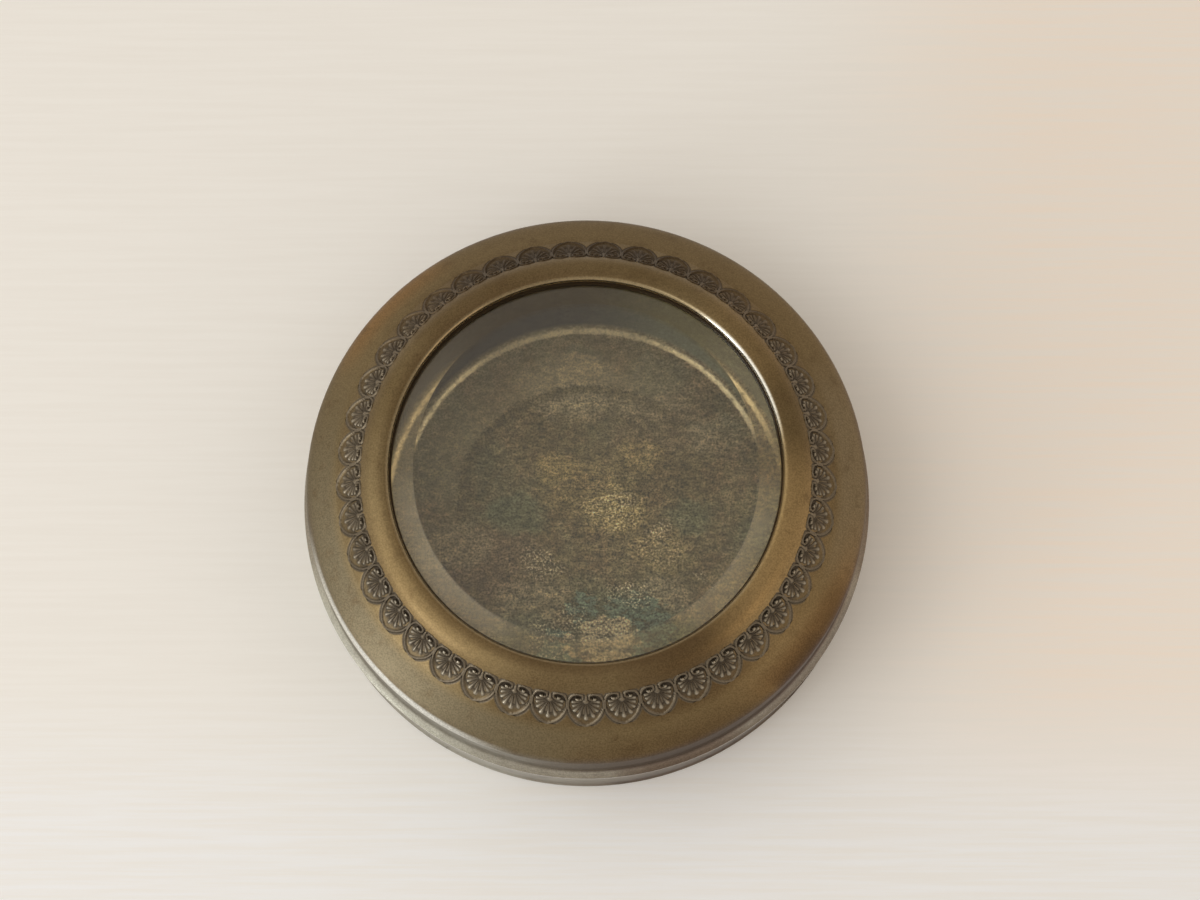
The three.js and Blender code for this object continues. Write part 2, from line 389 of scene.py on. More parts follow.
# Stains on the floor: middle, reach and depth of colour
GOLD_STAINS = [
    ((0.0057, 0.0002), 0.0056, 0.85), ((-0.005, 0.0086), 0.0042, 0.60), ((0.0114, 0.0115), 0.004, 0.40),
    ((0.0161, -0.009), 0.0050, 0.36), ((0.0, 0.0045), 0.0075, 0.25)]
DARK_STAINS = [
    ((0.0159, 0.0099), 0.002, 0.6), ((0.0095, 0.003), 0.0025, 0.5), ((0.002, 0.0125), 0.003, 0.4),
    ((-0.011, -0.013), 0.003, 0.35)]
GREEN_STAINS = [
    ((-0.0143, -0.0011), 0.0045, 0.60), ((0.0213, -0.0014), 0.004, 0.55),
    ((0.0005, -0.0174), 0.004, 0.35), ((0.0164, -0.0236), 0.004, 0.70), ((0.0065, -0.0206), 0.0055, 0.50),
    ((-0.0059, -0.0285), 0.004, 0.70), ((-0.0123, -0.0265), 0.005, 0.45), ((-0.001, 0.0326), 0.003, 0.5),
    ((0.0139, 0.0284), 0.005, 0.35)]
TEAL_STAINS = [
    ((-0.0059, -0.0285), 0.005, 1.0), ((0.0105, -0.0215), 0.006, 0.9), ((0.012, -0.0300), 0.005, 1.0),
    ((-0.0005, -0.0205), 0.004, 0.9)]
PLUM_STAINS = [((-0.0183, -0.011), 0.0085, 0.55), ((0.015, 0.018), 0.009, 0.30)]
TAN_STAINS = [
    ((0.0046, -0.0252), 0.0046, 1.0), ((0.0072, -0.0295), 0.0014, 0.7), ((-0.0027, -0.0266), 0.0012, 0.9),
    ((-0.0015, 0.0295), 0.0040, 1.0), ((-0.004, 0.0275), 0.0022, 0.6)]
BLOOM_STAINS = [
    ((-0.003, 0.026), 0.008, 0.75), ((0.013, 0.025), 0.007, 0.45), ((-0.014, -0.026), 0.006, 0.45),
    ((0.015, -0.0188), 0.005, 0.60), ((-0.0255, -0.007), 0.005, 0.45), ((0.0255, 0.016), 0.005, 0.45),
    ((-0.0113, -0.0188), 0.006, 0.45)]
FLAKED_STAINS = [
    ((0.009, -0.0172), 0.0036, 1.0), ((-0.0071, -0.0258), 0.0034, 1.0), ((-0.0094, -0.0111), 0.003, 0.8),
    ((-0.0029, -0.0222), 0.003, 0.9), ((0.0154, -0.0053), 0.0022, 0.8), ((0.0161, -0.009), 0.0045, 0.4),
    ((0.0057, 0.0002), 0.005, 0.8), ((0.0231, -0.0135), 0.0012, 0.9), ((0.0046, -0.0256), 0.004, 1.0)]

# Where the floor is rough with streaks and specks: middle, reach and depth
ROUGH_STAINS = [
    ((0.008, -0.002), 0.012, 1.0), ((0.004, -0.021), 0.012, 1.0), ((-0.010, -0.014), 0.008, 0.7)]

# Where the tarnish is cracked in short dark lines: middle, reach and depth
CRACKED_STAINS = [
    ((0.008, 0.008), 0.011, 0.8), ((-0.004, 0.012), 0.007, 0.5), ((0.016, 0.005), 0.006, 0.6)]

# Where the cove is green or mauve, partly as painted light and shade, and where its bend carries the
# painted highlight: azimuth in degrees, half width, strength
COVE_GREEN_SWEEPS = [(38, 58, 0.9), (-90, 70, 0.6)]
COVE_MAUVE_SWEEPS = [(125, 60, 0.85)]
BEND_HIGHLIGHT_SWEEPS = [(150, 42, 1.0), (95, 45, 0.6), (50, 36, 0.95)]


def drifted(tree, place, scale, reach):
    """Places shifted this way and that by noise, up to reach each way, for ragged or wandering marks."""
    feeds = dict(Vector=place, Scale=scale, Detail=6.0, Roughness=0.62)
    shift = add_node(tree, "ShaderNodeTexNoise", feeds).outputs["Color"]
    shift = vector_sum(tree, "SUBTRACT", shift, (0.5, 0.5, 0.5))[0]
    return vector_sum(tree, "MULTIPLY_ADD", shift, (2 * reach, 2 * reach, 0), place)[0]


def wiped(tree, place, stretch):
    """Places turned to the way the floor has been wiped, and drawn out along it."""
    feeds = {0: place, 2: (0, 0, WIPE_TURN), 3: (stretch, 1, 1)}
    return add_node(tree, "ShaderNodeMapping", feeds).outputs[0]


def stains(tree, place, spots):
    """Mask of several stains drawn out along the wiping, each with its middle, reach and depth."""
    mask = None
    for (x, y), reach, depth in spots:
        middle = (-STAIN_STRETCH * x, -y, 0)
        offset = vector_sum(tree, "MULTIPLY_ADD", place, (STAIN_STRETCH, 1, 0), middle)[0]
        away = vector_sum(tree, "LENGTH", offset)["Value"]
        spot = ease(tree, away, STAIN_EDGE[0] * reach, STAIN_EDGE[1] * reach, depth, 0.0)
        mask = spot if mask is None else sum_of(tree, "MAXIMUM", mask, spot)
    return mask


def flaking(tree, stain, breaks):
    """A stain broken into crisp patches, which hold where it and the noise given are both strong."""
    held = scaled(tree, breaks, FLAKE_BREAKS, sum_of(tree, "SUBTRACT", stain, FLAKE_FLOOR))
    return ease(tree, held, *FLAKE_EDGE, 0.0, FLAKE_FULL)


def bowl_tarnish():
    """Tarnished brass: mottled floor, a dark cove that is partly painted shade, and a golden bend between
    them, partly rubbed and partly a painted highlight.
    """
    material, tree, shader, place = new_material("tarnished bowl brass")
    radius, azimuth, height = polar_place(tree, place)
    swept = partial(sweeps, tree, azimuth)
    clouds = noise(tree, place, scale=55, detail=9, roughness=0.62, distortion=0.4)
    greens = noise(tree, place, scale=42, detail=6, roughness=0.6, distortion=0.8)
    blots = noise(tree, place, scale=240, detail=10, roughness=0.74)
    grain = noise(tree, place, scale=2200, detail=6, roughness=0.7)
    wander = drifted(tree, place, 60, WIPE_WANDER)
    stained = partial(stains, tree, drifted(tree, place, 140, STAIN_DRIFT))
    along_wipes = wiped(tree, wander, WIPE_STRETCH)
    wipes = noise(tree, along_wipes, scale=1400, detail=4, roughness=0.65)
    patches = noise(tree, along_wipes, scale=800, detail=4, roughness=0.6)
    scratches = noise(tree, wiped(tree, wander, SCRATCH_STRETCH), scale=1900, detail=2, roughness=0.5)
    outwards = add_node(tree, "ShaderNodeCombineXYZ", {0: radius}).outputs[0]
    rings = noise(tree, outwards, scale=420, detail=5, roughness=0.7)

    stain_edge = scaled(tree, blots, FLOOR_STAIN_RAGGED, radius)
    gold = product(tree, stained(GOLD_STAINS), ease(tree, grain, 0.36, 0.56, 0.5, 1.0))
    around = polar_place(tree, wander)[0]
    ringed = swept(PALE_RING_SWEEPS)
    pale_ring = product(tree, fade(tree, around, PALE_RING_START, PALE_RING_FADE), ringed)
    ring_line = product(
        tree, fade(tree, around, PALE_RING_START, RING_LINE_RISE),
        fade(tree, around, PALE_RING_START, RING_LINE_FALL, 1, 0), ringed)
    cracks = product(tree, ease(tree, scratches, 0.42, 0.34), stained(CRACKED_STAINS))
    flakes = product(tree, stained(FLAKED_STAINS), ease(tree, grain, 0.53, 0.60), 0.85)
    cove = fade(tree, radius, bend_outer, COVE_FADE)
    # The cove's colour: dark tarnish and painted shade under the lid, lighter green towards the lit right
    # and the front, darker mauve towards the back left.
    cove_tarnish_and_shade = layered(
        tree, COVE_SLATE,
        (swept(COVE_GREEN_SWEEPS), COVE_GREEN),
        (swept(COVE_MAUVE_SWEEPS), COVE_MAUVE))
    colour = layered(
        tree, TARNISH_DARK,
        (ease(tree, clouds, 0.36, 0.64), TARNISH_GREY),
        (ease(tree, blots, 0.42, 0.62, 0, 0.8), TARNISH_BROWN),
        (ease(tree, greens, 0.45, 0.68, 0, 0.6), VERDIGRIS),
        (fade(tree, stain_edge, FLOOR_STAIN_RADIUS, FLOOR_STAIN_FADE, 0.35, 0), TARNISH_DARK),
        (stained(PLUM_STAINS), TARNISH_PLUM),
        (stained(BLOOM_STAINS), PALE_BLOOM),
        (stained(GREEN_STAINS), VERDIGRIS),
        (flaking(tree, stained(TEAL_STAINS), patches), VERDIGRIS_TEAL),
        (gold, RUBBED_GOLD),
        (flaking(tree, stained(TAN_STAINS), patches), PALE_TAN),
        (stained(DARK_STAINS), TARNISH_DARK),
        (ease(tree, rings, 0.45, 0.7, 0.0, 0.25), TARNISH_DARK),
        (ring_line, TARNISH_DARK),
        (product(tree, pale_ring, 0.5), PALE_BLOOM),
        (cracks, TARNISH_DARK),
        (flakes, PALE_FLAKE),
        (cove, cove_tarnish_and_shade))

    roughened = stained(ROUGH_STAINS)
    shades = product(
        tree, ease(tree, wipes, 0.30, 0.70, 0.76, 1.24), ease(tree, grain, 0.34, 0.66, 0.42, 1.58),
        ease(tree, patches, 0.35, 0.65, 0.72, 1.28))
    depth = product(
        tree, scaled(tree, roughened, 0.25, 1.05), lessened(tree, cove, 0.35),
        lessened(tree, pale_ring, 0.5))
    shades = scaled(tree, sum_of(tree, "SUBTRACT", shades, 1.0), depth, 1.0)
    colour = tint(tree, 1.0, colour, shades, "MULTIPLY")
    scratched = product(
        tree, ease(tree, scratches, 0.60, 0.68), roughened, ease(tree, grain, 0.42, 0.56, 0.0, 0.6))
    frayed = scaled(tree, patches, BEND_FRAY, sum_of(tree, "SUBTRACT", radius, BEND_FRAY / 2))
    # The golden ring at the bend: partly rubbed brass, partly a painted highlight, brightest round the
    # back.
    bend_rub_and_highlight = product(
        tree, fade(tree, frayed, floor_radius, BEND_RISE), fade(tree, frayed, bend_outer, BEND_FALL, 1, 0),
        ease(tree, swept(BEND_HIGHLIGHT_SWEEPS), 0, 1, 0.25, 1),
        ease(tree, blots, 0.34, 0.50, 0.45, 1.0), ease(tree, grain, 0.36, 0.56, 0.62, 1.0))
    colour = layered(tree, colour, (scratched, PALE_TAN), (bend_rub_and_highlight, BEND_GOLD_AND_HIGHLIGHT))
    rough = scaled(tree, bend_rub_and_highlight, -0.36, scaled(tree, blots, 0.25, 0.50))
    dull = product(tree, ease(tree, clouds, 0.35, 0.65, 0.45, 0.20), lessened(tree, cove, 0.4))
    metal = sum_of(tree, "MAXIMUM", dull, bend_rub_and_highlight)
    relief = mixed(tree, rings, wipes, RING_SHARE)
    feed(tree, shader, Base_Color=colour, Metallic=metal, Roughness=rough,
         Normal=bump(tree, relief, 0.3, COARSE_DEPTH))
    return material


bowl_low, bowl_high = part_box("base_bowl")
floor_height = bowl_low.z + SHEET
flange_inner = bowl_high.x - SHEET
floor_radius = flange_inner - COVE_WIDTH
bend_outer = floor_radius + COVE_FOOT
flange_foot = bowl_high.z - FLANGE_HEIGHT
cove_bottom = floor_height + COVE_FOOT_RISE
cove_top = flange_foot - COVE_TOP_RISE
cove_slope = (cove_top - cove_bottom) / (flange_inner - COVE_TOP - bend_outer)
bowl_face = [
    (0.0, floor_height),
    *bend((floor_radius, floor_height), (bend_outer - COVE_FOOT_RISE / cove_slope, floor_height),
          (bend_outer, cove_bottom)),
    *bend((flange_inner - COVE_TOP, cove_top), (flange_inner, cove_top + COVE_TOP * cove_slope),
          (flange_inner, flange_foot)),
    (flange_inner, bowl_high.z),
]
base_bowl = spin_section("base_bowl_spinning", bowl_face + sheet_back(bowl_face, SHEET)[::-1])
base_bowl.data.materials.append(bowl_tarnish())
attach(base_bowl, "base")
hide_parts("base_bowl")


# Locating collar
# A strip of brass bent to an upright ring and soldered inside the ledge. The lid slips over it, so it is
# scuffed bright in upright streaks over the tarnish.
COLLAR_TARNISH = (0.215, 0.172, 0.098, 1)
COLLAR_SCUFF = (0.40, 0.315, 0.17, 1)
COLLAR_DARK = (0.115, 0.095, 0.062, 1)
SCUFFS_AROUND = 260
SCUFFS_UP = 220


def collar_brass():
    """Tarnished strip brass with upright scuffs."""
    material, tree, shader, place = new_material("scuffed collar brass")
    radius, azimuth, height = polar_place(tree, place)
    around = product(tree, azimuth, SCUFFS_AROUND)
    up = product(tree, height, SCUFFS_UP)
    drawn = add_node(tree, "ShaderNodeCombineXYZ", {0: around, 1: up, 2: radius}).outputs[0]
    scuffs = noise(tree, drawn, scale=1, detail=5, roughness=0.65)
    clouds = noise(tree, place, scale=110, detail=7)
    rubbed = product(tree, ease(tree, scuffs, 0.42, 0.75), ease(tree, clouds, 0.35, 0.65, 0.9, 0.25))
    colour = layered(
        tree, COLLAR_TARNISH,
        (rubbed, COLLAR_SCUFF),
        (ease(tree, clouds, 0.45, 0.75, 0, 0.8), COLLAR_DARK))
    feed(tree, shader, Base_Color=colour, Metallic=1.0, Roughness=scaled(tree, clouds, 0.3, 0.3),
         Normal=bump(tree, scuffs, 0.3, FINE_DEPTH))
    return material


collar_inner = collar_high.x - SHEET
collar_ring = spin_section("locating_collar_ring", [
    (collar_inner, collar_low.z),
    (collar_high.x, collar_low.z),
    (collar_high.x, collar_high.z),
    (collar_inner, collar_high.z),
])
collar_ring.data.materials.append(collar_brass())
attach(collar_ring, "base")
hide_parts("locating_collar")


# Lid shell
# The dome of the lid, pressed from one sheet of brass: a folded rim round the window, a plain band, the
# sloping channel of the border, and a broad band that rolls over to an upright wall and a flared lip.
LIP_FLARE = 0.0015
LIP_EDGE = 0.0008
LIP_RISE = 0.0022
OUTER_BAND = 0.0065
OUTER_BAND_RISE = 0.0054
SHOULDER_ROLL = 0.0012
BORDER_WIDTH = 0.0053
BORDER_RISE = 0.0058
INNER_BAND = 0.0056
INNER_BAND_RISE = 0.0025
RIM_FOLD = 0.001
RIM_FLAT = 0.0002
RIM_DEPTH = 0.0019
CHANNEL_DEPTH = 0.00072
BORDER_SAG = 0.0002

LID_OLIVE = (0.158, 0.110, 0.052, 1)
LID_KHAKI = (0.205, 0.150, 0.076, 1)
LID_GOLD = (0.335, 0.230, 0.105, 1)
LID_BROWN = (0.112, 0.070, 0.034, 1)
LID_ORANGE_REFLECTION = (0.300, 0.160, 0.058, 1)
LID_GREY_SHEEN = (0.148, 0.126, 0.084, 1)
LID_PALE_SHEEN = (0.265, 0.208, 0.130, 1)
LID_PURPLE = (0.105, 0.072, 0.064, 1)
RIM_BRIGHT = (0.38, 0.30, 0.18, 1)
WALL_OLIVE = (0.225, 0.178, 0.102, 1)
WALL_SILVER = (0.29, 0.28, 0.235, 1)
LIP_SILVER = (0.50, 0.49, 0.42, 1)
# Near-white for the painted highlights on the shoulder edge and the rim
HIGHLIGHT_WHITE = (0.80, 0.80, 0.75, 1)
LIP_BROWN = (0.170, 0.125, 0.092, 1)
BORDER_GREY = (0.215, 0.177, 0.127, 1)
BORDER_SILVER = (0.36, 0.32, 0.25, 1)
BORDER_BLACK = (0.030, 0.023, 0.017, 1)
PATINA_BLACK = (0.085, 0.064, 0.043, 1)
GREY_SHARE = 0.6
LID_LINES = (4200, 14)

# Edges of tinted and patinated stretches, painted shade and painted highlights, as distances from the
# border, the shoulder, the lip or the window
OUTER_FADE = (-0.001, 0.002)
BAND_MARGIN = 0.001
PURPLE_FADE = (0.002, -0.001)
WALL_FADE = (0.0014, -0.0006)
EDGE_TOP_FADE = (0.0013, 0.0006)
EDGE_FOOT_FADE = (-0.0014, -0.0004)
LIP_FADE = (-0.0004, -0.0012)
HOLLOW_FOOT_FADE = (-0.0006, 0.0004)
HOLLOW_TOP_FADE = (0.0012, 0.0045)
RIM_SHADE_FADE = (0.0012, 0.0032)
RIM_FADE = (0.0003, 0.0009)

# Stretches round the lid with their own tint: azimuth in degrees, half width, strength. The orange, pale
# and grey stretches are painted reflections and sheen of the room and its lamps, the gold is partly worn
# brass and partly a painted reflection, the silver shoulder edge and the silver rim stretch are painted
# highlights, and the brown beside the rim is painted shade. The rest are tones of the brass that differ
# round the lid.
GOLD_WEAR_AND_REFLECTION_SWEEPS = [(-140, 40, 0.25), (-24, 36, 1.0), (40, 20, 0.30)]
GREY_SHEEN_SWEEPS = [(-145, 70, 0.8)]
PALE_SHEEN_SWEEPS = [(2, 30, 0.6)]
EDGE_HIGHLIGHT_SWEEPS = [(-138, 34, 1.0)]
RIM_HIGHLIGHT_SWEEPS = [(33, 26, 0.9)]
ORANGE_REFLECTION_SWEEPS = [(138, 20, 0.60), (-30, 26, 0.55)]
BROWN_SWEEPS = [(-66, 36, 0.75), (-38, 20, 0.95), (95, 50, 0.20)]
INNER_BROWN_SWEEPS = [(-64, 24, 0.65), (-95, 20, 0.35), (118, 34, 0.35)]
LIP_BROWNED = [(-70, 22, 0.95), (-93, 30, 0.5), (-38, 32, 0.7), (4, 36, 0.9), (80, 70, 0.5),
               (178, 26, 0.6)]
RIM_DULLED_SWEEPS = [(-12, 30, 0.8)]
WALL_BROWNED = BROWNED_SIDES + [(-70, 28, 0.9)]
BLACKENED_SWEEPS = [(-74, 34, 0.7)]
RIM_SHADE_SWEEPS = [(-88, 60, 0.35), (120, 60, 0.35)]
SOFT_BORDER_SWEEPS = [(88, 80, 0.65), (180, 38, 0.40), (2, 42, 0.30)]
BROWN_BORDER_SWEEPS = [(92, 80, 0.75)]
DARK_BORDER_SWEEPS = [(-148, 36, 0.36), (90, 45, 0.45)]


def lid_brass(name, has_relief):
    """Satin brass gone olive, golden where it is partly worn and partly painted reflection, with painted
    orange, pale and grey reflections, painted highlights on the shoulder edge and rim, painted shade beside
    the rim, and dark in the hollow above the lip.
    """
    material, tree, shader, place = new_material(name)
    radius, azimuth, height = polar_place(tree, place)
    swept = partial(sweeps, tree, azimuth)
    clouds = noise(tree, place, scale=38, detail=6, roughness=0.55, distortion=0.3)
    mottle = noise(tree, place, scale=260, detail=7, roughness=0.65)
    grain = noise(tree, place, scale=3200, detail=3, roughness=0.6)
    lines = polish_marks(tree, place, *LID_LINES)
    outer = fade(tree, radius, border_outer, OUTER_FADE)
    within = sum_of(tree, "SUBTRACT", 1.0, outer)
    past_border = ease(tree, radius, border_inner + BAND_MARGIN, border_outer)
    outer_edge = ease(tree, radius, border_outer + BAND_MARGIN, wall_radius - BAND_MARGIN)

    # Gold is partly worn brass and partly a painted reflection of the warm room; the orange, grey and pale
    # tints are painted reflections and sheen.
    gold = product(tree, swept(GOLD_WEAR_AND_REFLECTION_SWEEPS), lessened(tree, past_border, 0.25))
    brown = product(tree, swept(BROWN_SWEEPS), outer_edge, ease(tree, clouds, 0.3, 0.6))
    purple = product(
        tree, fade(tree, height, shoulder_height, PURPLE_FADE), ease(tree, clouds, 0.4, 0.65, 0.2, 0.8))
    wall = product(
        tree, fade(tree, height, shoulder_height, WALL_FADE), ease(tree, mottle, 0.3, 0.7, 0.95, 0.55))
    wall_colour = layered(
        tree, WALL_OLIVE,
        (swept(SILVERED_SIDES), WALL_SILVER),
        (swept(WALL_BROWNED), LID_PURPLE))
    # Painted highlight: a thin near-white line along the shoulder edge at the front left, in place of a
    # glint of the lamps.
    edge = product(
        tree, fade(tree, height, shoulder_height, EDGE_TOP_FADE),
        fade(tree, height, shoulder_height, EDGE_FOOT_FADE))
    painted_edge_highlight = product(tree, swept(EDGE_HIGHLIGHT_SWEEPS), edge)
    lip = fade(tree, height, lip_top, LIP_FADE)
    lip_colour = tint(tree, swept(LIP_BROWNED), LIP_SILVER, LIP_BROWN)
    # Painted shade, in brown, on the band beside the window rim, at the front and the back left.
    rim_shade = product(tree, fade(tree, radius, window_radius, RIM_SHADE_FADE, 1, 0), swept(RIM_SHADE_SWEEPS))
    # The rim is polished bright, and near-white at the back right as a painted highlight.
    rim = product(
        tree, fade(tree, radius, window_radius, RIM_FADE, 1, 0),
        lessened(tree, swept(RIM_DULLED_SWEEPS), 0))
    rim_polish_and_highlight = tint(tree, swept(RIM_HIGHLIGHT_SWEEPS), RIM_BRIGHT, HIGHLIGHT_WHITE)
    colour = layered(
        tree, LID_OLIVE,
        (ease(tree, clouds, 0.34, 0.68), LID_KHAKI),
        (product(tree, outer, 0.6), LID_KHAKI),
        (product(tree, swept(INNER_BROWN_SWEEPS), within), LID_BROWN),
        (gold, LID_GOLD),
        (product(tree, swept(ORANGE_REFLECTION_SWEEPS), outer_edge), LID_ORANGE_REFLECTION),
        (product(tree, swept(GREY_SHEEN_SWEEPS), outer), LID_GREY_SHEEN),
        (product(tree, swept(PALE_SHEEN_SWEEPS), outer), LID_PALE_SHEEN),
        (brown, LID_BROWN),
        (purple, LID_PURPLE),
        (ease(tree, mottle, 0.52, 0.75, 0.0, 0.45), LID_BROWN),
        (wall, wall_colour),
        (painted_edge_highlight, HIGHLIGHT_WHITE),
        (product(tree, lip, ease(tree, mottle, 0.3, 0.7, 1.0, 0.7)), lip_colour),
        (rim_shade, LID_BROWN),
        (product(tree, rim, 0.7), rim_polish_and_highlight))

    rough = scaled(tree, clouds, 0.10, scaled(tree, mottle, 0.16, 0.30))
    rough = scaled(tree, painted_edge_highlight, -0.32, scaled(tree, lip, -0.24, rough))
    rough = product(tree, rough, lessened(tree, rim, 0.28))
    # Dark patina in the hollow above the lip, strongest on the brown sides.
    hollow = product(
        tree, fade(tree, height, lip_top, HOLLOW_FOOT_FADE),
        fade(tree, height, lip_top, HOLLOW_TOP_FADE, 1, 0))
    browned_sides = swept(BROWNED_SIDES)
    patina = product(tree, hollow, ease(tree, browned_sides, 0, 1, 0.2, 0.9))
    blackened = product(tree, wall, swept(BLACKENED_SWEEPS), sum_of(tree, "SUBTRACT", 1.0, lip))
    patina = sum_of(tree, "MAXIMUM", patina, blackened)
    black = PATINA_BLACK
    if has_relief:
        worn = add_node(tree, "ShaderNodeAttribute", attribute_name="patina").outputs["Fac"]
        raised = add_node(tree, "ShaderNodeAttribute", attribute_name="raised").outputs["Fac"]
        soft = swept(SOFT_BORDER_SWEEPS)
        patina = product(tree, worn, ease(tree, mottle, 0.25, 0.6, 1.0, 0.8), lessened(tree, soft, 0.55))
        raised = product(tree, raised, lessened(tree, soft, 0.4))
        browned = product(tree, swept(BROWN_BORDER_SWEEPS), ease(tree, raised, 0.0, 0.24))
        leaf = ease(tree, sum_of(tree, "MAXIMUM", worn, raised), 0.0, 0.3)
        colour = layered(
            tree, colour,
            (ease(tree, raised, 0.0, GREY_SHARE), BORDER_GREY),
            (ease(tree, raised, GREY_SHARE, 1.0), BORDER_SILVER),
            (browned, LID_BROWN),
            (product(tree, swept(DARK_BORDER_SWEEPS), leaf), BORDER_BLACK))
        rough = scaled(tree, raised, -0.14, rough)
        black = BORDER_BLACK
    colour = tint(tree, patina, colour, black)
    colour = tint(tree, 1.0, colour, ease(tree, grain, 0.3, 0.7, 0.80, 1.20), "MULTIPLY")
    rough = scaled(tree, patina, 0.25, rough)
    relief = product(tree, mixed(tree, lines, grain, POLISH_SHARE), lessened(tree, lip, 0.35))
    feed(tree, shader, Base_Color=colour, Metallic=1.0, Roughness=rough,
         Normal=bump(tree, relief, 0.16, FINE_DEPTH))
    return material


lid_low, lid_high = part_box("lid_shell")
lip_radius = lid_high.x
seam_height = lid_low.z
wall_radius = lip_radius - LIP_FLARE
border_outer = wall_radius - OUTER_BAND
border_inner = border_outer - BORDER_WIDTH
window_radius = border_inner - INNER_BAND
border_top = lid_high.z - INNER_BAND_RISE
border_bottom = border_top - BORDER_RISE
shoulder_height = border_bottom - OUTER_BAND_RISE
lip_bottom = seam_height + LIP_EDGE
lip_top = lip_bottom + LIP_RISE
fold_height = lid_high.z - RIM_FOLD
sag_slope = 4 * BORDER_SAG / math.hypot(BORDER_WIDTH, BORDER_RISE)
band_steepness = math.tan(math.atan2(BORDER_RISE, BORDER_WIDTH) + sag_slope)
band_corner = border_inner - INNER_BAND_RISE / band_steepness
border_slant = math.hypot(BORDER_WIDTH, BORDER_RISE)
border_down = np.array((BORDER_WIDTH, -BORDER_RISE)) / border_slant
border_out = np.array((BORDER_RISE, BORDER_WIDTH)) / border_slant
border_start = np.array((border_inner, border_top))
border_end = np.array((border_outer, border_bottom))
rim_face = [
    (window_radius, lid_high.z - RIM_DEPTH),
    *roll((window_radius + RIM_FOLD, fold_height), RIM_FOLD, 180, 90),
    *bend((window_radius + RIM_FOLD + RIM_FLAT, lid_high.z), (band_corner, lid_high.z), border_start),
]
shoulder_face = [
    *bend(border_end, (wall_radius, shoulder_height + SHOULDER_ROLL), (wall_radius, shoulder_height)),
    *bend((wall_radius, lip_top), (wall_radius, lip_bottom + LIP_FLARE), (lip_radius, lip_bottom)),
    (lip_radius, seam_height),
]
channel = [border_start - CHANNEL_DEPTH * border_out, border_end - CHANNEL_DEPTH * border_out]
plain_face = rim_face + shoulder_face
lid_shell = spin_section(
    "lid_dome", rim_face + channel + shoulder_face + sheet_back(plain_face, SHEET)[::-1], arris=0)
lid_shell.data.materials.append(lid_brass("lid brass", has_relief=False))
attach(lid_shell, "lid")
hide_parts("lid_shell")


# Palmette border
# The traditional stamped border of the lid: heart-shaped leaves side by side, each holding a fan of rays
# raised from a sunk ground that has gone black with age. It lies in the dome's sloping channel.
PALMETTES = 41
COLUMNS = 44
ROWS = 50
STRIP_DEPTH = 0.0004
LEAF_RIDGE = 0.00020
LEAF_RIDGE_HALF = 0.00025
LEAF_SINK = 0.00024
CREVICE = 0.00008
CREVICE_AWAY = 0.00030
CREVICE_HALF = 0.00040
RAY_HEIGHT = 0.00034
RAY_ROOT = 0.45
RAY_HALF = (0.00012, 0.00036)
RAY_STEP_DEG = 22.0
RAY_COUNT_EACH_SIDE = 4
RAY_HUB = (0.0, 0.0022)
RAY_START = 0.0005
RAY_SHORT = 0.0025
RAY_LONG = 0.0040
TIP_START = 0.0030
TIP_FADE = 0.0018
TIP_SUNK = 0.3
HUB_HALF = 0.0006
STEM = ((0.0, 0.0002), (0.0, 0.0020))
STEM_HALF = 0.00036
CURL_BLOB = 0.00040
PATINA_TOP = 0.00008
PATINA_RUN = 0.00022
OUTLINE_PATINA = 0.24
BORDER_MERGE = 1e-6
NEVER_ZERO = 1e-12

# Right half of a leaf's outline, across and down the slope: the curl, the lobe, then the side to the tip
LEAF_LINE = [
    (0.00172, 0.00152), (0.00118, 0.00168), (0.00066, 0.00128), (0.00064, 0.00070), (0.00112, 0.00030),
    (0.00188, 0.00024), (0.00278, 0.00066), (0.00336, 0.00190), (0.00332, 0.00390), (0.00270, 0.00560),
    (0.00156, 0.00698), (0.00006, 0.00778),
]
LEAF_LINE_STEPS = 6
LOBE_POINT = 3


def smooth_line(points):
    """A smooth line through the points given."""
    held = np.array([points[0], *points, points[-1]])
    steps = np.linspace(0, 1, LEAF_LINE_STEPS, endpoint=False)[:, None]
    parts = []
    for before, start, end, after in zip(held, held[1:], held[2:], held[3:]):
        pull = (end - before) / 2
        push = (after - start) / 2
        parts.append(
            (2 * steps ** 3 - 3 * steps ** 2 + 1) * start + (steps ** 3 - 2 * steps ** 2 + steps) * pull
            + (3 * steps ** 2 - 2 * steps ** 3) * end + (steps ** 3 - steps ** 2) * push)
    return np.vstack([*parts, held[-1:]])


def from_segment(spots, start, end):
    """Distance of each spot from a straight stretch, and how far along it the nearest point lies."""
    run = np.array(end) - np.array(start)
    share = np.clip((spots - np.array(start)) @ run / (run @ run), 0, 1)
    return np.linalg.norm(spots - np.array(start) - share[..., None] * run, axis=-1), share


def dome_bump(distance, half):
    """A rounded ridge: 1 on its line, 0 at half its width."""
    return np.sqrt(np.clip(1 - (distance / half) ** 2, 0, 1))


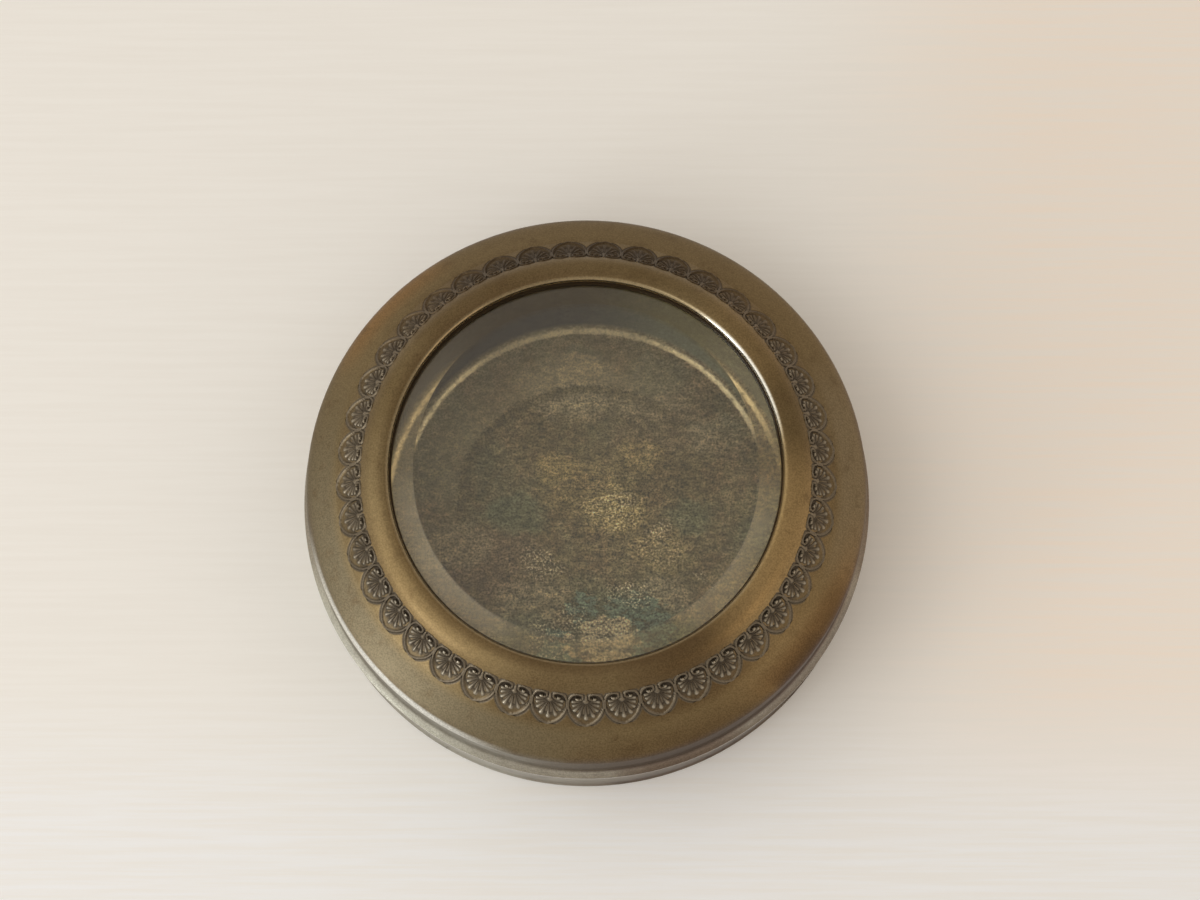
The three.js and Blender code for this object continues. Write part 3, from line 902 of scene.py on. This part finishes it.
def palmette_relief(across, down):
    """Height of one leaf above the border's plain slope, its patina, and how far its grey metal shows."""
    spots = np.stack((np.abs(across), down), axis=-1)
    line = smooth_line(LEAF_LINE)
    pieces = list(zip(line, line[1:]))
    to_line = np.min([from_segment(spots, a, b)[0] for a, b in pieces], axis=0)
    inside = np.zeros(across.shape, dtype=bool)
    for a, b in pieces[LOBE_POINT * LEAF_LINE_STEPS:]:
        between = (a[1] > down) != (b[1] > down)
        crossing = a[0] + (down - a[1]) * (b[0] - a[0]) / (b[1] - a[1] + NEVER_ZERO)
        inside ^= between & (spots[..., 0] < crossing)
    from_hub = np.linalg.norm(spots - np.array(RAY_HUB), axis=-1)
    tip_fade = np.clip(1 - (from_hub - TIP_START) / TIP_FADE, TIP_SUNK, 1)
    sunk = np.where(inside, np.clip(to_line / LEAF_RIDGE_HALF, 0, 1), 0) * tip_fade
    height = -LEAF_SINK * sunk
    knobs = np.zeros(across.shape)
    for i in range(RAY_COUNT_EACH_SIDE + 1):
        lean = math.radians(i * RAY_STEP_DEG)
        aim = np.array((math.sin(lean), math.cos(lean)))
        reach = RAY_SHORT + (RAY_LONG - RAY_SHORT) * abs(math.cos(lean)) ** 3
        away, share = from_segment(spots, RAY_HUB + RAY_START * aim, RAY_HUB + reach * aim)
        half = RAY_HALF[0] + (RAY_HALF[1] - RAY_HALF[0]) * share
        swell = RAY_ROOT + (1 - RAY_ROOT) * share ** 2
        ray = RAY_HEIGHT * swell * dome_bump(away, half) - LEAF_SINK
        height = np.where(away < half, np.maximum(height, ray), height)
        knobs = np.where(away < half, np.maximum(knobs, share ** 3), knobs)
    stem = dome_bump(from_segment(spots, *STEM)[0], STEM_HALF)
    hub = dome_bump(from_hub, HUB_HALF)
    middle = np.maximum(stem, hub)
    height = np.where(middle > 0, np.maximum(height, RAY_HEIGHT * middle - LEAF_SINK), height)
    blob = dome_bump(np.linalg.norm(spots - np.array(LEAF_LINE[0]), axis=-1), CURL_BLOB)
    ridge = LEAF_RIDGE * np.maximum(dome_bump(to_line, LEAF_RIDGE_HALF), blob)
    crevice = np.where(inside, 0, dome_bump(to_line - CREVICE_AWAY, CREVICE_HALF))
    height = np.where(ridge > 0, np.maximum(height, ridge), height - CREVICE * crevice)
    low = np.clip((PATINA_TOP - height) / PATINA_RUN, 0, 1)
    patina = np.where(inside, low * tip_fade, crevice * low)
    on_outline = (to_line < LEAF_RIDGE_HALF) & (blob == 0)
    patina = np.where(on_outline, np.maximum(patina, OUTLINE_PATINA), patina)
    raised = GREY_SHARE * np.where(inside | (to_line < CREVICE_AWAY), 1.0, crevice)
    raised = np.where(inside & (to_line > LEAF_RIDGE_HALF), raised * tip_fade, raised)
    worn_bright = np.maximum(knobs, blob)
    bright = GREY_SHARE + (1 - GREY_SHARE) * worn_bright
    raised = np.where(worn_bright > 0, np.maximum(raised, bright), raised)
    return height, patina, raised


def palmette_border():
    """The border strip: one leaf's stretch of it, repeated round the lid, with a plain conical back."""
    bm = bmesh.new()
    worn = bm.verts.layers.float.new("patina")
    proud = bm.verts.layers.float.new("raised")
    bmesh.ops.create_grid(bm, x_segments=COLUMNS, y_segments=ROWS + 2, size=0.5)
    pitch = math.pi * (border_inner + border_outer) / PALMETTES
    share = np.array([vert.co.x + 0.5 for vert in bm.verts])
    row = np.array([round((vert.co.y + 0.5) * (ROWS + 2)) for vert in bm.verts])
    down = np.clip((row - 1) / ROWS, 0, 1) * border_slant
    height, patina, raised = palmette_relief((share - 0.5) * pitch, down)
    at_back = (row == 0) | (row == ROWS + 2)
    height[at_back] = -STRIP_DEPTH
    along = down / border_slant
    height -= 4 * BORDER_SAG * along * (1 - along)
    azimuth = (share - 0.5) * 2 * math.pi / PALMETTES - math.pi / 2
    section = border_start + down[:, None] * border_down + height[:, None] * border_out
    for vert, turn, (radius, rise), dark, grey in zip(bm.verts, azimuth, section, patina, raised):
        vert.co = (radius * math.cos(turn), radius * math.sin(turn), rise)
        vert[worn] = dark
        vert[proud] = grey
    everything = bm.verts[:] + bm.edges[:] + bm.faces[:]
    bmesh.ops.spin(
        bm, geom=everything, cent=(0, 0, 0), axis=(0, 0, 1),
        angle=2 * math.pi * (PALMETTES - 1) / PALMETTES, steps=PALMETTES - 1, use_duplicate=True)
    bmesh.ops.remove_doubles(bm, verts=bm.verts, dist=BORDER_MERGE)
    bmesh.ops.bridge_loops(bm, edges=[edge for edge in bm.edges if edge.is_boundary])
    bmesh.ops.recalc_face_normals(bm, faces=bm.faces)
    return finish_mesh("palmette_border", bm, arris=0)


border_strip = palmette_border()
border_strip.data.materials.append(lid_brass("border brass", has_relief=True))
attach(border_strip, "lid")


# Window glass
# A disc of old plate glass with a polished bevel, laid in the lid from below. It is faintly green, and a
# little hazed by handling.
GLASS_EDGE = 0.0020
BEVEL_WIDTH = 0.0061
GLASS_ARRIS = 0.00012
GLASS_CREASE_DEG = 4.0
GLASS_IOR = 1.5
GLASS_TINT = (0.955, 0.970, 0.930, 1)
GRIME_AND_SHADE_BROWN = (0.040, 0.024, 0.012, 1)
GRIME_AND_SHADE_WIDTH = 0.0001
GRIME_AND_SHADE_FADE = 0.0003
BEVEL_FADE = (-0.0002, 0.0002)
BEVEL_BLUR = 0.045
HAZE_TINT = (0.95, 0.87, 0.67, 1)

# Where the bevel is hazed: azimuth in degrees, half width, how much light it stops
HAZED_SWEEPS = [(-146, 45, 0.16), (-90, 70, 0.05), (-30, 40, 0.12), (180, 60, 0.05), (22, 30, 0.06)]


def plate_glass():
    """Clear old glass with a trace of haze on the bevel, and a dark brown line at its edge under the rim,
    partly grime and partly painted shade.
    """
    material, tree, shader, place = new_material("bevelled plate glass")
    radius, azimuth, height = polar_place(tree, place)
    haze = noise(tree, place, scale=90, detail=6, roughness=0.7)
    bevel = fade(tree, radius, bevel_start, BEVEL_FADE)
    worn = product(tree, bevel, ease(tree, haze, 0.25, 0.7, 0.5, 1.0))
    rough = scaled(tree, worn, BEVEL_BLUR, ease(tree, haze, 0.4, 0.75, 0.0, 0.015))
    # A dark brown line round the pane's edge under the rim: partly grime, partly painted shade of the rim.
    ragged = scaled(tree, haze, GRIME_AND_SHADE_FADE, sum_of(tree, "SUBTRACT", radius, GRIME_AND_SHADE_FADE / 2))
    grime_and_shade_full = window_radius - GRIME_AND_SHADE_WIDTH
    grime_and_shade = ease(tree, ragged, grime_and_shade_full - GRIME_AND_SHADE_FADE, grime_and_shade_full, 0.0, 0.94)
    hazed = product(tree, worn, sweeps(tree, azimuth, HAZED_SWEEPS))
    clearness = sum_of(tree, "SUBTRACT", sum_of(tree, "SUBTRACT", 1.0, hazed), grime_and_shade)
    colour = layered(
        tree, GLASS_TINT,
        (bevel, HAZE_TINT),
        (ease(tree, grime_and_shade, 0.0, 0.15), GRIME_AND_SHADE_BROWN))
    feed(tree, shader, Base_Color=colour, Roughness=rough, IOR=GLASS_IOR, Transmission_Weight=clearness,
         Normal=bump(tree, haze, 0.03, FINE_DEPTH))
    return material


glass_low, glass_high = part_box("window_glass")
glass_radius = glass_high.x
bevel_start = glass_radius - BEVEL_WIDTH
window_glass = spin_section("window_pane", [
    (0.0, glass_low.z),
    (glass_radius, glass_low.z),
    (glass_radius, glass_low.z + GLASS_EDGE),
    (bevel_start, glass_high.z),
    (0.0, glass_high.z),
], arris=GLASS_ARRIS, crease_deg=GLASS_CREASE_DEG)
window_glass.data.materials.append(plate_glass())
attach(window_glass, "lid")
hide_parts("window_glass")


# Glass packing ring
# A ring cut from thin brown card, pressed between the pane and its retaining ring so that the glass
# doesn't rattle.
CARD_BROWN = (0.26, 0.20, 0.125, 1)
CARD_PALE = (0.40, 0.33, 0.22, 1)
CARD_WIDTH = 0.0013
CARD_ARRIS = 0.00005


def packing_card():
    """Brown card with short fibres and a soft, uneven surface."""
    material, tree, shader, place = new_material("packing card")
    fibres = noise(tree, place, scale=1800, detail=5, roughness=0.75, distortion=1.5)
    clouds = noise(tree, place, scale=150, detail=4)
    paleness = scaled(tree, fibres, 0.6, product(tree, clouds, 0.4))
    colour = tint(tree, paleness, CARD_BROWN, CARD_PALE)
    feed(tree, shader, Base_Color=colour, Roughness=scaled(tree, clouds, 0.1, 0.85),
         Normal=bump(tree, fibres, 0.4, COARSE_DEPTH))
    return material


card_low, card_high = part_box("glass_packing_ring")
packing_inner = card_high.x - CARD_WIDTH
packing_ring = spin_section("packing_ring_card", [
    (packing_inner, card_low.z),
    (card_high.x, card_low.z),
    (card_high.x, card_high.z),
    (packing_inner, card_high.z),
], arris=CARD_ARRIS)
packing_ring.data.materials.append(packing_card())
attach(packing_ring, "lid")
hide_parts("glass_packing_ring")


# Glass retaining ring
# An angle ring bent from strip brass. Its flange holds the packing and the pane up against the rim, and
# its leg stands round the pane under the dome.
FITTING_DULL = (0.27, 0.215, 0.11, 1)
FITTING_DARK = (0.085, 0.070, 0.045, 1)


def fitting_brass():
    """Dull brass that has never been polished, with dark blots of flux and tarnish."""
    material, tree, shader, place = new_material("dull fitting brass")
    clouds = noise(tree, place, scale=170, detail=7, roughness=0.65)
    grain = noise(tree, place, scale=2400, detail=4)
    colour = tint(tree, ease(tree, clouds, 0.42, 0.68), FITTING_DULL, FITTING_DARK)
    feed(tree, shader, Base_Color=colour, Metallic=1.0, Roughness=scaled(tree, clouds, 0.25, 0.36),
         Normal=bump(tree, grain, 0.3, FINE_DEPTH))
    return material


ring_low, ring_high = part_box("glass_retaining_ring")
fitting_finish = fitting_brass()
leg_inner = ring_high.x - SHEET
flange_top = ring_low.z + SHEET
retaining_ring = spin_section("retaining_ring_angle", [
    (packing_inner, ring_low.z),
    (ring_high.x, ring_low.z),
    (ring_high.x, ring_high.z),
    (leg_inner, ring_high.z),
    (leg_inner, flange_top),
    (packing_inner, flange_top),
])
retaining_ring.data.materials.append(fitting_finish)
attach(retaining_ring, "lid")
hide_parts("glass_retaining_ring")


# Glass clips
# Six short brass strips, each soldered by its leg to the underside of the dome and folded in below the
# retaining ring, to hold it and the glass up.
CLIP_COUNT = 6
CLIP_WIDTH = 0.006
CLIP_STANDOFF = 0.0007
CLIP_REACH = 0.0018
CLIP_GAP = 0.0003


def under_dome(radius):
    """Height of the dome's underside at a radius, less the thickness of the solder."""
    back = np.array(sheet_back(plain_face, SHEET))
    return float(np.interp(radius, back[:, 0], back[:, 1])) - CLIP_GAP


for i in range(CLIP_COUNT):
    node = f"glass_clip_{i + 1}"
    leg_in = ring_high.x + CLIP_STANDOFF
    leg_out = leg_in + SHEET
    arm_top = ring_low.z - CLIP_GAP
    outline = [
        (ring_high.x - CLIP_REACH, arm_top - SHEET),
        (leg_out, arm_top - SHEET),
        (leg_out, under_dome(leg_out)),
        (leg_in, under_dome(leg_in)),
        (leg_in, arm_top),
        (ring_high.x - CLIP_REACH, arm_top),
    ]
    bm = bmesh.new()
    corners = [bm.verts.new((radius, -CLIP_WIDTH / 2, height)) for radius, height in outline]
    side = bm.faces.new(corners)
    pulled = bmesh.ops.extrude_face_region(bm, geom=[side])["geom"]
    far_side = [part for part in pulled if isinstance(part, bmesh.types.BMVert)]
    bmesh.ops.translate(bm, verts=far_side, vec=(0, CLIP_WIDTH, 0))
    bmesh.ops.recalc_face_normals(bm, faces=bm.faces)
    turn = 2 * math.pi * (i + 0.5) / CLIP_COUNT
    bmesh.ops.rotate(bm, verts=bm.verts, cent=(0, 0, 0), matrix=Matrix.Rotation(turn, 3, "Z"))
    clip = finish_mesh(f"{node}_strip", bm, arris=ARRIS)
    clip.data.materials.append(fitting_finish)
    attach(clip, "lid")
    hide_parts(node)


# Floor, light and camera
# A plain pale table top in a warm room that is brightest to the left. A broad light and a small one come
# from there, and a weak warm one from the right. The view is from above and a little in front.
FLOOR_SIZE = 3.0
FLOOR_PALE = (0.93, 0.915, 0.890, 1)
FLOOR_SHADE = (0.895, 0.874, 0.843, 1)
FLOOR_COOL_LIGHT = (0.925, 0.940, 0.970, 1)
FLOOR_WARM_SHADE = (0.945, 0.850, 0.765, 1)
FLOOR_WARM_SHADE_FADE = (0.04, 0.10)
FLOOR_COOL_LIGHT_FADE = (-0.03, -0.07)
FLOOR_GRAIN = (6, 190, 1)
ROOM_WARM = (0.60, 0.542, 0.472, 1)
ROOM_BRIGHT = (0.90, 0.865, 0.79, 1)
ROOM_WINDOW = (-0.93, -0.30, 0.20)
ROOM_FADE = (-0.1, 0.95)
KEY_PLACE = (-0.75, -0.24, 0.62)
KEY_SIZE = 1.1
KEY_WATTS = 2.8
KEY_COLOUR = (0.98, 0.985, 0.97)
EDGE_PLACE = (-0.62, -0.42, 0.20)
EDGE_SIZE = 0.22
EDGE_WATTS = 0.80
EDGE_COLOUR = (0.96, 0.98, 1.0)
FILL_PLACE = (0.60, -0.42, 0.34)
FILL_SIZE = 0.4
FILL_WATTS = 0.25
FILL_COLOUR = (1.0, 0.78, 0.56)
TILT_DEG = 15.0
VIEW_DISTANCE = 0.48
LENS = 74.7
SENSOR = 36.0
PHOTO_WIDTH = 1200
PHOTO_MIDDLE = (600, 450)
WINDOW_PIXEL = (586.1, 467.0)


def floor_finish():
    """Pale matt paint with a trace of grain, with painted warm shade towards the right and painted cool
    light towards the front.
    """
    material, tree, shader, place = new_material("pale table paint")
    drawn = add_node(tree, "ShaderNodeMapping", {0: place, 3: FLOOR_GRAIN}).outputs[0]
    grain = noise(tree, drawn, scale=4, detail=9, roughness=0.7)
    aside, along, height = add_node(tree, "ShaderNodeSeparateXYZ", {0: place}).outputs
    # Warm painted shade to the right, cool painted light to the front.
    colour = layered(
        tree, FLOOR_PALE,
        (ease(tree, aside, *FLOOR_WARM_SHADE_FADE), FLOOR_WARM_SHADE),
        (ease(tree, along, *FLOOR_COOL_LIGHT_FADE), FLOOR_COOL_LIGHT),
        (ease(tree, grain, 0.35, 0.65, 0, 0.6), FLOOR_SHADE))
    feed(tree, shader, Base_Color=colour, Roughness=0.7)
    return material


def softbox(name, place, size, watts, colour):
    """A square area lamp aimed at the middle of the box."""
    lamp = bpy.data.lights.new(name, "AREA")
    lamp.size = size
    lamp.energy = watts
    lamp.color = colour
    holder = bpy.data.objects.new(name, lamp)
    holder.location = place
    holder.rotation_euler = (-Vector(place)).to_track_quat("-Z", "Y").to_euler()
    bpy.context.scene.collection.objects.link(holder)


bm = bmesh.new()
bmesh.ops.create_grid(bm, x_segments=1, y_segments=1, size=FLOOR_SIZE / 2)
floor = finish_mesh("table_top", bm, arris=0)
floor.data.materials.append(floor_finish())

softbox("window_light", KEY_PLACE, KEY_SIZE, KEY_WATTS, KEY_COLOUR)
softbox("edge_light", EDGE_PLACE, EDGE_SIZE, EDGE_WATTS, EDGE_COLOUR)
softbox("room_light", FILL_PLACE, FILL_SIZE, FILL_WATTS, FILL_COLOUR)
world = bpy.data.worlds.new("soft warm room")
world.use_nodes = True
room = world.node_tree
aim = add_node(room, "ShaderNodeTexCoord").outputs["Generated"]
facing = vector_sum(room, "DOT_PRODUCT", aim, ROOM_WINDOW)["Value"]
room_colour = tint(room, ease(room, facing, *ROOM_FADE), ROOM_WARM, ROOM_BRIGHT)
room.links.new(room_colour, room.nodes["Background"].inputs["Color"])
bpy.context.scene.world = world

camera = bpy.data.cameras.new("photo_view")
camera.lens = LENS
camera.sensor_width = SENSOR
viewer = bpy.data.objects.new("photo_view", camera)
bpy.context.scene.collection.objects.link(viewer)
tilt = math.radians(TILT_DEG)
pixel = VIEW_DISTANCE * SENSOR / LENS / PHOTO_WIDTH
aside = (PHOTO_MIDDLE[0] - WINDOW_PIXEL[0]) * pixel
above = (WINDOW_PIXEL[1] - PHOTO_MIDDLE[1]) * pixel
away = Vector((0, -math.sin(tilt), math.cos(tilt)))
up = Vector((0, math.cos(tilt), math.sin(tilt)))
viewer.location = Vector((aside, 0, cad_high.z)) + VIEW_DISTANCE * away + above * up
viewer.rotation_euler = (tilt, 0, 0)
bpy.context.scene.camera = viewer
bpy.context.scene.view_settings.view_transform = "Standard"
